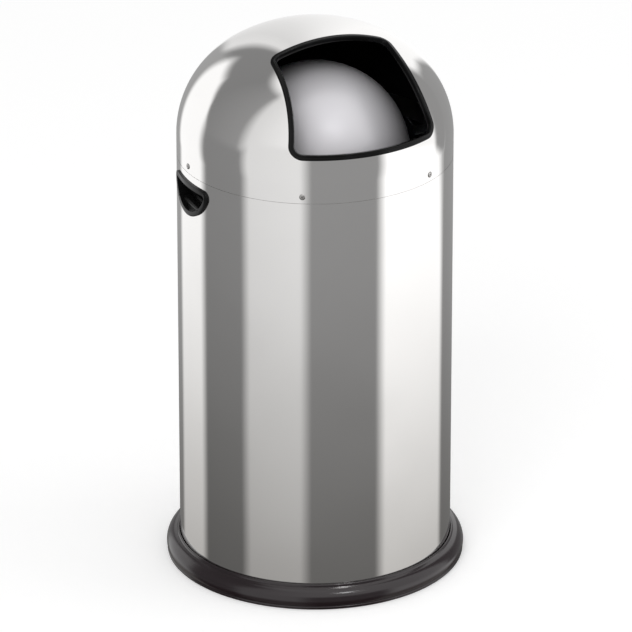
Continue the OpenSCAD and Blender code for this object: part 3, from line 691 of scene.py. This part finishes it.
# %% Section of the trim
# Points of (height above the dome's surface, distance from the trim's outer edge) in millimetres. Below
# zero is behind the surface, or in towards the middle of the mouth.
TRIM_SECTION = [
    (0.15, 0.0), (1.0, 0.0), (1.5, -0.15), (1.85, -0.5), (2.05, -1.1), (2.1, -2.4), (2.0, -4.0),
    (1.9, -4.7), (2.2, -5.1), (2.7, -5.4), (2.9, -5.9), (2.9, -6.5), (2.7, -7.1), (2.2, -7.4),
    (1.5, -7.5), (-3.9, -7.5), (-4.2, -7.3), (-4.3, -6.9), (-4.3, -5.4), (-4.0, -5.2), (-4.0, -1.2),
    (-3.8, -1.0), (-2.8, -1.0), (-2.6, -1.2), (-2.6, -4.6), (-0.05, -4.6), (-0.05, -4.4), (0.02, -0.2),
]


def line_mesh(name, points):
    """A closed line of points as a mesh of edges."""
    mesh = bpy.data.meshes.new(name)
    count = len(points)
    mesh.from_pydata([tuple(p) for p in points], [(i, (i + 1) % count) for i in range(count)], [])
    return mesh


section_points = [(h * MM, w * MM, 0) for h, w in TRIM_SECTION]
section = new_piece("trim_section", line_mesh("trim_section", section_points))
trim = new_piece("mouth_trim_moulding", line_mesh("mouth_trim_moulding", outline))
facing = trim.data.attributes.new("surface_way", "FLOAT_VECTOR", "POINT")
for item, point in zip(facing.data, outline):
    item.vector = sheet_normal(*point)
print("section of", len(TRIM_SECTION), "points")

# %% Geometry Nodes: sweep a section along a line on a surface


def tree_with(name, inputs):
    """An empty geometry tree with named inputs."""
    tree = bpy.data.node_groups.new(name, "GeometryNodeTree")
    tree.interface.new_socket("Geometry", in_out="INPUT", socket_type="NodeSocketGeometry")
    for label, kind, value in inputs:
        socket = tree.interface.new_socket(label, in_out="INPUT", socket_type=kind)
        if value is not None:
            socket.default_value = value
    tree.interface.new_socket("Geometry", in_out="OUTPUT", socket_type="NodeSocketGeometry")
    return tree


def finish_tree(tree, geometry, source, result):
    """Ends a tree as the export needs it: real geometry with its material."""
    realize = tree.nodes.new("GeometryNodeRealizeInstances")
    paint = tree.nodes.new("GeometryNodeSetMaterial")
    tree.links.new(geometry, realize.inputs["Geometry"])
    tree.links.new(realize.outputs["Geometry"], paint.inputs["Geometry"])
    tree.links.new(source.outputs["Material"], paint.inputs["Material"])
    tree.links.new(paint.outputs["Geometry"], result.inputs["Geometry"])


def sweep_tree():
    """Sweeps a section along a line whose points know which way the surface faces."""
    tree = tree_with(
        "sweep along surface line",
        [
            ("Section", "NodeSocketObject", None),
            ("Section Scale", "NodeSocketFloat", 1.0),
            ("Material", "NodeSocketMaterial", None),
        ],
    )
    n, link = tree.nodes, tree.links.new
    source, result = n.new("NodeGroupInput"), n.new("NodeGroupOutput")
    to_curve = n.new("GeometryNodeMeshToCurve")
    way = n.new("GeometryNodeInputNamedAttribute")
    way.data_type = "FLOAT_VECTOR"
    way.inputs["Name"].default_value = "surface_way"
    upright = n.new("GeometryNodeSetCurveNormal")
    upright.mode = "FREE"
    info = n.new("GeometryNodeObjectInfo")
    section_curve = n.new("GeometryNodeMeshToCurve")
    sweep = n.new("GeometryNodeCurveToMesh")
    link(source.outputs["Geometry"], to_curve.inputs[0])
    link(to_curve.outputs[0], upright.inputs["Curve"])
    link(way.outputs["Attribute"], upright.inputs["Normal"])
    link(source.outputs["Section"], info.inputs["Object"])
    link(info.outputs["Geometry"], section_curve.inputs[0])
    link(upright.outputs["Curve"], sweep.inputs["Curve"])
    link(section_curve.outputs[0], sweep.inputs["Profile Curve"])
    link(source.outputs["Section Scale"], sweep.inputs["Scale"])
    finish_tree(tree, sweep.outputs["Mesh"], source, result)
    return tree


def with_tree(piece, tree, **values):
    """Runs a geometry tree on a piece and bakes what it made. Inputs are set by their identifiers."""
    modifier = piece.modifiers.new(tree.name, "NODES")
    modifier.node_group = tree
    for item in tree.interface.items_tree:
        label = item.name.replace(" ", "_").lower()
        if item.item_type == "SOCKET" and item.in_out == "INPUT" and label in values:
            modifier[item.identifier] = values[label]
    return bake(piece)


SWEEP = sweep_tree()
with_tree(trim, SWEEP, section=section, section_scale=1.0, material=BLACK_PLASTIC)
bpy.data.objects.remove(section)
print("trim has", len(trim.data.polygons), "faces")

# %% Close and dress the trim


def outward_shell(piece):
    """Merges doubles and turns a closed shell's faces outwards."""
    bm = bmesh.new()
    bm.from_mesh(piece.data)
    bmesh.ops.remove_doubles(bm, verts=bm.verts, dist=1e-6)
    bmesh.ops.recalc_face_normals(bm, faces=bm.faces)
    bm.to_mesh(piece.data)
    bm.free()


outward_shell(trim)
smooth(trim.data, angle=50)
dress(trim, BLACK_PLASTIC, "casing", "black_plastic", "mouth_trim")

# %% [markdown]
# ## Rivets and screws
#
# Blind rivets hold the dome to the band inside the casing, six of them evenly round it, and screws hold
# the base plate. Both repeat round a circle. Six copies could be placed by hand, but one geometry tree
# does it for any number: it places a small mesh on the points of a circle and turns it to face outwards.
# Its inputs are the number, the radius, the height and the tilt.

# %% Geometry Nodes: fasteners round a circle


def circle_tree():
    """Places a fastener on each point of a circle, turned to face outwards."""
    tree = tree_with(
        "fasteners round a circle",
        [
            ("Fastener", "NodeSocketObject", None),
            ("Count", "NodeSocketInt", 6),
            ("Ring Radius", "NodeSocketFloat", BODY_R),
            ("Height", "NodeSocketFloat", SEAM_Z),
            ("Tilt", "NodeSocketFloat", 0.0),
            ("Material", "NodeSocketMaterial", None),
        ],
    )
    n, link = tree.nodes, tree.links.new
    source, result = n.new("NodeGroupInput"), n.new("NodeGroupOutput")
    ring = n.new("GeometryNodeMeshCircle")
    lift = n.new("GeometryNodeTransform")
    up = n.new("ShaderNodeCombineXYZ")
    info = n.new("GeometryNodeObjectInfo")
    place = n.new("GeometryNodeInstanceOnPoints")
    index = n.new("GeometryNodeInputIndex")
    spin = n.new("ShaderNodeCombineXYZ")
    link(source.outputs["Count"], ring.inputs["Vertices"])
    link(source.outputs["Ring Radius"], ring.inputs["Radius"])
    link(source.outputs["Height"], up.inputs["Z"])
    link(ring.outputs["Mesh"], lift.inputs["Geometry"])
    link(up.outputs[0], lift.inputs["Translation"])
    share = maths(tree, "DIVIDE", index.outputs[0], source.outputs["Count"])
    link(maths(tree, "MULTIPLY", share, 2 * math.pi), spin.inputs["Z"])
    link(source.outputs["Tilt"], spin.inputs["Y"])
    link(source.outputs["Fastener"], info.inputs["Object"])
    link(lift.outputs["Geometry"], place.inputs["Points"])
    link(info.outputs["Geometry"], place.inputs["Instance"])
    link(spin.outputs[0], place.inputs["Rotation"])
    finish_tree(tree, place.outputs["Instances"], source, result)
    return tree


FASTENERS = circle_tree()
print("tree", FASTENERS.name, "with", len(FASTENERS.nodes), "nodes")

# %% One blind rivet, and six of them round the joint
RIVET_COUNT = 6
RIVET_UP = 9 * MM


def rivet_profile():
    """From the hollow eye over the domed head, then down the shank to the bulb behind the sheets."""
    eye = [(0.0, -0.9), (1.05, -0.9), (1.1, 0.95), (1.3, 1.2)]
    head = [(2.2, 1.3), (3.0, 1.1), (3.6, 0.75), (3.95, 0.3), (4.0, 0.06)]
    shank = [(2.0, 0.04), (2.0, -2.1), (3.0, -2.15), (3.0, -3.4), (2.4, -4.0), (0.0, -4.1)]
    return [(r * MM, z * MM) for r, z in eye + head + shank]


rivet = turned("one_rivet", rivet_profile(), segments=32, closed=False, angle=40)
rivets = new_piece("joint_rivets", bpy.data.meshes.new("joint_rivets"))
with_tree(
    rivets, FASTENERS, fastener=rivet, count=RIVET_COUNT, ring_radius=BODY_R,
    height=SEAM_Z + RIVET_UP, tilt=math.pi / 2, material=PLAIN_STEEL,
)
bpy.data.objects.remove(rivet)
dress(rivets, PLAIN_STEEL, "casing", "plain_steel", "seam_rivets")

# %% One pan screw, and six of them round the base plate
SCREW_COUNT = 6
PLATE_TOP = 7.5 * MM
SCREW_RING_R = 152 * MM


def screw_profile():
    """From the recess in the middle over the pan head, then down the shank to its tip."""
    recess = [(0.0, 1.2), (0.9, 1.2), (1.0, 1.95)]
    head = [(2.6, 1.9), (3.3, 1.6), (3.8, 1.0), (3.95, 0.3), (3.9, 0.02)]
    shank = [(2.0, 0.0), (2.0, -4.6), (1.4, -5.45), (0.0, -5.5)]
    return [(r * MM, z * MM) for r, z in recess + head + shank]


screw = turned("one_screw", screw_profile(), segments=28, closed=False, angle=40)
screws = new_piece("plate_screws", bpy.data.meshes.new("plate_screws"))
with_tree(
    screws, FASTENERS, fastener=screw, count=SCREW_COUNT, ring_radius=SCREW_RING_R,
    height=PLATE_TOP, tilt=0.0, material=ZINC,
)
bpy.data.objects.remove(screw)
dress(screws, ZINC, "base", "galvanised_steel", "base_screws")

# %% [markdown]
# ## The base ring
#
# The ring is a moulding with a narrow lip against the steel, a full round flank and a small crease above
# its foot. A section turned about the axis gives it true curves everywhere, with every edge rounded.

# %% Base ring


def ring_profile():
    """Up from the foot over the flank and the lip, then the groove, the upstand and the plate's flange."""
    foot = [(173.5, 0.0), (196.6, 0.0), (198.3, 0.25)]
    foot += [(199.1, 1.0), (199.25, 3.2), (199.0, 3.9), (198.5, 4.3), (198.45, 4.9), (198.9, 5.6)]
    flank = arc(184, 11, 16, -18, 68, 30)
    lip = [(187.2, 26.6), (186.0, 27.0), (185.7, 28.2)] + arc(184.0, 28.4, 1.55, 10, 175, 12)
    groove = [(182.4, 27.6), (182.4, 6.3), (182.1, 6.0), (177.9, 6.0), (177.6, 6.3), (177.6, 19.4)]
    upstand = [(177.1, 20.0), (174.8, 20.0), (174.3, 19.4), (174.3, 6.4), (173.9, 6.0)]
    flange = [(140.4, 6.0), (140.0, 5.6), (140.0, 1.4), (140.4, 1.0)]
    inner_foot = [(172.6, 1.0), (173.2, 0.6)]
    points = foot + flank + lip + groove + upstand + flange + inner_foot
    return [(r * MM, z * MM) for r, z in points]


ring = turned("base_ring_moulding", ring_profile(), angle=45)
dress(ring, BASE_PLASTIC, "base", "base_plastic", "base_ring")

# %% [markdown]
# ## The side grips
#
# A grip is a moulded cup with a rim for the fingers. It could be modelled again by hand, but the CAD's cup
# has the right form already. A real moulding has no sharp edge anywhere, so a merged copy of the cup gets
# a small rounding along every edge.

# %% Side grips
GRIP_EDGE = 0.7 * MM
for side in ("left", "right"):
    grip = softened(f"grip_{side}", f"side_grip_{side}", GRIP_EDGE)
    dress(grip, BLACK_PLASTIC, "casing", "black_plastic", f"grip_{side}")

# %% [markdown]
# ## The liner
#
# The liner is a tapered sheet bucket whose upper edge is rolled round a wire. A cone with a thickness would
# lack the roll, so one closed profile gives the wall and the roll together. The liner's floor, ears and
# wire handles keep the CAD's own form, further down.

# %% Liner wall
LINER_Z = 7.8 * MM
LINER_TOP = 470 * MM
LINER_H = LINER_TOP - LINER_Z
LINER_FOOT_R = 161 * MM
LINER_TOP_R = 165 * MM
LINER_T = 1 * MM
ROLL_R = 3 * MM
ROLL_END = 0.2 * MM


def liner_profile():
    """Up the outside, round the roll and down the inside, which starts ROLL_END lower."""
    rim_z = LINER_TOP - ROLL_R
    rim_r = LINER_FOOT_R + (LINER_TOP_R - LINER_FOOT_R) * (rim_z - LINER_Z) / LINER_H - LINER_T / 2
    outer = [(LINER_FOOT_R, LINER_Z), (rim_r + LINER_T / 2, rim_z - ROLL_R)]
    roll = arc(rim_r, rim_z, ROLL_R, -80, 260, 40)
    inner = [(rim_r - LINER_T / 2, rim_z - ROLL_R - ROLL_END), (LINER_FOOT_R - LINER_T, LINER_Z)]
    return outer + roll + inner


liner = turned("liner_bucket", liner_profile(), segments=192, angle=50)
dress(liner, ZINC, "liner", "galvanised_steel", "liner_wall")

# %% [markdown]
# ## Pressed and moulded pieces that keep the CAD's form
#
# The rest of the mechanism is plain plate, bar and wire. Each one is a softened copy where an edge would
# catch the light, or the CAD's own solid with its finish where it is hidden or already smooth.

# %% Softened pieces
# Each row ends with the width of its rounded edges in millimetres.
SOFTENED = [
    ("pivot_bracket_left", ZINC, "casing", "galvanised_steel", 0.3),
    ("pivot_bracket_right", ZINC, "casing", "galvanised_steel", 0.3),
    ("weight_arm_left", ZINC, "flap", "galvanised_steel", 0.5),
    ("weight_arm_right", ZINC, "flap", "galvanised_steel", 0.5),
    ("counterweight", ZINC, "flap", "galvanised_steel", 0.9),
    ("flap_hub_left", BLACK_PLASTIC, "flap", "black_plastic", 0.5),
    ("flap_hub_right", BLACK_PLASTIC, "flap", "black_plastic", 0.5),
]
for node, material, body, slot_name, width in SOFTENED:
    dress(softened(node, node + "_soft", width * MM), material, body, slot_name, node)

# %% Finishes of the CAD nodes that are shown as they are
KEPT = {
    "base_plate": ZINC, "centring_blocks": BASE_PLASTIC,
    "liner_floor": ZINC, "liner_ears": ZINC, "ear_rivets": ZINC,
    "liner_handle_front": ZINC, "liner_handle_back": ZINC,
    "bottom_hoop": PLAIN_STEEL, "joint_band": PLAIN_STEEL, "inner_hood": LINING,
    "grip_retainer_left": BLACK_PLASTIC, "grip_retainer_right": BLACK_PLASTIC,
    "pivot_bush_left": NYLON, "pivot_bush_right": NYLON, "stop_pins": ZINC,
    "flap_axle_left": ZINC, "flap_axle_right": ZINC, "axle_clips": ZINC, "weight_screws": ZINC,
}
for node, material in KEPT.items():
    for place in nodes[node].material_slots:
        place.material = material
print(len(KEPT), "CAD nodes keep their own mesh")

# %% [markdown]
# ## The studio
#
# The floor is pale and keeps the bin's soft shadow. A mirror needs something to show, and polished metal
# in a bare white room looks like paper, so photographers stand tall white and dark panels round it. Here
# a ball of such panels surrounds the bin, wide enough for a straight side to show them as straight bands,
# and dimmer towards its foot. A small bright disc adds the glints. Only reflections see them: they
# neither hide the floor nor take light from the lamps.

# %% Floor
FLOOR_R = 14.0
FLOOR_GREY = 0.93
FLOOR_GLOW = 0.24


def emission_by(name, build=None, strength=1.0):
    """A material that only glows, white or with a colour that the build function puts out."""
    material = bpy.data.materials.new(name)
    material.use_nodes = True
    tree = material.node_tree
    tree.nodes.clear()
    glow = tree.nodes.new("ShaderNodeEmission")
    glow.inputs["Color"].default_value = (1, 1, 1, 1)
    glow.inputs["Strength"].default_value = strength
    out = tree.nodes.new("ShaderNodeOutputMaterial")
    tree.links.new(glow.outputs[0], out.inputs["Surface"])
    if build:
        tree.links.new(build(tree), glow.inputs["Color"])
    return material


def flat_disc(name, radius, segments):
    """A filled circle that lies round the origin."""
    mesh = bpy.data.meshes.new(name)
    bm = bmesh.new()
    bmesh.ops.create_circle(bm, cap_ends=True, segments=segments, radius=radius)
    bm.to_mesh(mesh)
    bm.free()
    return new_piece(name, mesh)


floor = flat_disc("studio_floor", FLOOR_R, segments=96)
pale = bpy.data.materials.new("pale floor")
pale.use_nodes = True
ground = pale.node_tree.nodes["Principled BSDF"]
ground.inputs["Base Color"].default_value = (FLOOR_GREY, FLOOR_GREY, FLOOR_GREY, 1)
ground.inputs["Roughness"].default_value = 0.9
ground.inputs["Specular IOR Level"].default_value = 0.0
ground.inputs["Emission Color"].default_value = (1, 1, 1, 1)
sight = pale.node_tree.nodes.new("ShaderNodeLightPath")
glow = maths(pale.node_tree, "MULTIPLY", sight.outputs["Is Camera Ray"], FLOOR_GLOW)
pale.node_tree.links.new(glow, ground.inputs["Emission Strength"])
floor.data.materials.append(pale)
floor.visible_glossy = False
print("floor of radius", FLOOR_R, "m")

# %% [markdown]
# ## What the steel reflects
#
# All the panels are one material on the inside of the ball. Two rows of stops say how bright it is round
# the bin, one for the low panels and one for the high ones, and a third row says where the low ones end.
# Each row becomes a colour ramp that reads the direction from the bin. Separate boards would do the same,
# but their gaps and corners are harder to place than a number in a row.

# %% Rows of stops: brightness and height by direction
# All stops are (angle, value). The angles run round the bin in degrees from the camera's side, which is 0:
# -90 is to its left, 90 to its right and 180 behind the bin. The tops are elevations in degrees.
CAMERA_TURN = math.radians(-24.85)
SCREEN_R = 4.0
BRIGHTEST = 1.3
LOW_PANELS = [
    (-180, 0.38), (-150, 0.38), (-143, 1.13), (-109, 1.13), (-101, 0.25), (-63, 0.26), (-55, 0.80),
    (-12, 0.86), (-3, 0.31), (51, 0.31), (60, 1.3), (126, 1.3), (133, 0.32), (180, 0.36),
]
HIGH_PANELS = [
    (-180, 0.94), (-174, 0.85), (-166, 0.79), (-159, 0.85), (-153, 0.25), (-110, 0.24), (-67, 0.31),
    (-57, 0.78), (-10, 1.0), (112, 1.1), (117, 0.31), (137, 0.31), (143, 1.1), (170, 1.1), (180, 0.94),
]
PANEL_TOPS = [
    (-180, -26), (-174, -18), (-169, 2), (-163, 12), (-156, 22), (-150, 30), (-147, 37), (-125, 38),
    (-118, 33), (-112, 28), (-106, 18), (-100, 10), (-62, 12), (-50, 24), (54, 24), (62, 12),
    (110, -4), (116, -8), (125, -13), (131, -14), (137, 24), (142, 24), (152, 18), (160, 6),
    (168, -8), (175, -24), (180, -26),
]
# Half the width of the soft edge between low and high panels, as a share of the screen's height.
PANEL_EDGE = 0.035
# The white ceiling starts between these two elevations, in degrees.
CEILING = (65, 76)
CEILING_LEVEL = 1.1
# The panels dim to this tone between these two heights, in metres from the screen's middle.
DIM_BELOW = (-2.0, -0.9)
DIM_TONE = (0.31, 0.30, 0.285)
WHITE = (1.0, 1.0, 1.0)


def ramp_by_angle(tree, share, stops, scale):
    """Levels round the bin; the share runs from behind it by its left, front and right."""
    ramp = tree.nodes.new("ShaderNodeValToRGB")
    marks = ramp.color_ramp.elements
    marks.remove(marks[1])
    for angle, value in stops:
        mark = marks.new(angle / 360 + 0.5) if angle > -180 else marks[0]
        level = scale(value)
        mark.color = (level, level, level, 1)
    tree.links.new(share, ramp.inputs["Fac"])
    return ramp.outputs["Color"]


def brightness_share(level):
    """A panel's brightness as a share of the brightest one."""
    return level / BRIGHTEST


def height_share(degrees):
    """An elevation as a share of the way from the lowest to the highest point of the screen."""
    return 0.5 + 0.5 * math.sin(math.radians(degrees))


print(len(LOW_PANELS), "stops below and", len(HIGH_PANELS), "above,", len(PANEL_TOPS), "stops for their tops")

# %% One material for all the panels


def panel_colours(tree):
    """Low panels up to their tops, then high panels, then the ceiling, all dimmed towards the foot."""
    n, link = tree.nodes, tree.links.new
    place = n.new("ShaderNodeTexCoord")
    split = n.new("ShaderNodeSeparateXYZ")
    height = n.new("ShaderNodeMapRange")
    height.inputs["From Min"].default_value = -SCREEN_R
    height.inputs["From Max"].default_value = SCREEN_R
    link(place.outputs["Object"], split.inputs[0])
    link(split.outputs["Z"], height.inputs["Value"])
    turn = maths(tree, "ARCTAN2", split.outputs["Y"], split.outputs["X"])
    from_behind = maths(tree, "ADD", turn, math.pi / 2 - CAMERA_TURN + math.pi)
    share = maths(tree, "FRACT", maths(tree, "DIVIDE", from_behind, 2 * math.pi))
    low = ramp_by_angle(tree, share, LOW_PANELS, brightness_share)
    high = ramp_by_angle(tree, share, HIGH_PANELS, brightness_share)
    top = ramp_by_angle(tree, share, PANEL_TOPS, height_share)
    over = maths(tree, "SUBTRACT", height.outputs["Result"], top)
    panels = mixed(tree, soft_step(tree, over, -PANEL_EDGE, PANEL_EDGE), low, high)
    start, end = height_share(CEILING[0]), height_share(CEILING[1])
    ceiling = soft_step(tree, height.outputs["Result"], start, end)
    white = brightness_share(CEILING_LEVEL)
    whole = mixed(tree, ceiling, panels, (white, white, white))
    lit = soft_step(tree, split.outputs["Z"], *DIM_BELOW)
    return mixed(tree, 1.0, whole, mixed(tree, lit, DIM_TONE, WHITE), "MULTIPLY")


print("the ceiling starts at", CEILING[0], "degrees")

# %% Screen round the bin


def screen_profile():
    """Half a circle from the lowest point to the highest."""
    return [(max(r, 0), z) for r, z in arc(0, 0, SCREEN_R, -90, 90, 60)]


def only_in_reflections(piece, material):
    """Gives a part of the studio its glow and hides it from all but reflected rays."""
    piece.data.materials.append(material)
    piece.visible_camera = False
    piece.visible_diffuse = False
    piece.visible_transmission = False
    piece.visible_volume_scatter = False
    piece.visible_shadow = False


screen = turned("studio_screen", screen_profile(), segments=128, closed=False)
only_in_reflections(screen, emission_by("studio panels", panel_colours, BRIGHTEST))
print("screen of radius", SCREEN_R, "m")

# %% Small bright disc for the glints
# Its direction is given in degrees from the camera's side and above the floor, its size in metres.
GLINT = {"turn": 32, "rise": 56, "far": 3.8, "radius": 0.24, "level": 16.0}
disc = flat_disc("studio_disc", GLINT["radius"], segments=48)
turn, rise = math.radians(GLINT["turn"]) + CAMERA_TURN, math.radians(GLINT["rise"])
way = Vector((math.sin(turn) * math.cos(rise), -math.cos(turn) * math.cos(rise), math.sin(rise)))
spin = way.to_track_quat("Z", "Y").to_matrix().to_4x4()
spin.translation = way * GLINT["far"]
disc.data.transform(spin)
only_in_reflections(disc, emission_by("studio disc", strength=GLINT["level"]))
print("disc towards", [round(v, 2) for v in way])

# %% [markdown]
# ## Lamps and air
#
# Two square lamps, a stronger one from the left and a weaker one from the right, shape the flap and the
# mouldings and lay the soft shadow on the floor. The steel doesn't show them, because it has the panels.
# The air round the bin is white to the eye and in reflections, and a little dimmer as a source of light.

# %% Lamps and world
LAMP_AIM = Vector((0, 0, 0.4))
AIR_LIGHT = 0.72


def soft_lamp(name, spot, size, power):
    """A square lamp at a spot, turned to the middle of the bin and hidden from reflections."""
    data = bpy.data.lights.new(name, "AREA")
    data.shape = "SQUARE"
    data.size = size
    data.energy = power
    lamp = bpy.data.objects.new(name, data)
    bpy.context.scene.collection.objects.link(lamp)
    lamp.location = spot
    lamp.rotation_euler = (LAMP_AIM - Vector(spot)).to_track_quat("-Z", "Y").to_euler()
    lamp.visible_glossy = False
    return lamp


soft_lamp("key", spot=(-2.4, -2.6, 3.6), size=2.2, power=42)
soft_lamp("fill", spot=(3.2, -1.6, 2.6), size=2.4, power=18)
world = bpy.data.worlds.new("studio air")
bpy.context.scene.world = world
world.use_nodes = True
air = world.node_tree
background = air.nodes["Background"]
background.inputs["Color"].default_value = (1, 1, 1, 1)
paths = air.nodes.new("ShaderNodeLightPath")
direct = maths(air, "MAXIMUM", paths.outputs["Is Camera Ray"], paths.outputs["Is Glossy Ray"])
seen = maths(air, "MAXIMUM", direct, paths.outputs["Is Transmission Ray"])
air.links.new(between(air, seen, AIR_LIGHT, 1.0), background.inputs["Strength"])
bpy.context.scene.view_settings.view_transform = "Standard"
print("lamps and world are set")

# %% [markdown]
# ## The camera
#
# The camera stands to the left of the mouth's own direction, well above the bin, and looks down at it
# through a long lens. The photograph was most likely taken from close by with a shifted lens. This camera
# is a compromise that also serves the views from other sides, and its numbers come from fitting the joint
# line, the base ring and the outline of the dome.

# %% Camera
FOCAL_LENGTH = 340.9
LENS_SHIFT = (0.0015, -0.0079)
CAMERA_REACH = 7.28
CAMERA_HEIGHT = 3.5367
CAMERA_TILT = 0.4133
lens = bpy.data.cameras.new("camera")
lens.lens = FOCAL_LENGTH
lens.sensor_width = 36
lens.sensor_fit = "HORIZONTAL"
lens.shift_x, lens.shift_y = LENS_SHIFT
camera = bpy.data.objects.new("camera", lens)
bpy.context.scene.collection.objects.link(camera)
aside, before = CAMERA_REACH * math.sin(CAMERA_TURN), CAMERA_REACH * math.cos(CAMERA_TURN)
camera.location = (aside, -before, CAMERA_HEIGHT)
camera.rotation_mode = "XYZ"
camera.rotation_euler = (math.pi / 2 - CAMERA_TILT, 0.0, CAMERA_TURN)
bpy.context.scene.camera = camera
print("camera at", [round(v, 3) for v in camera.location])
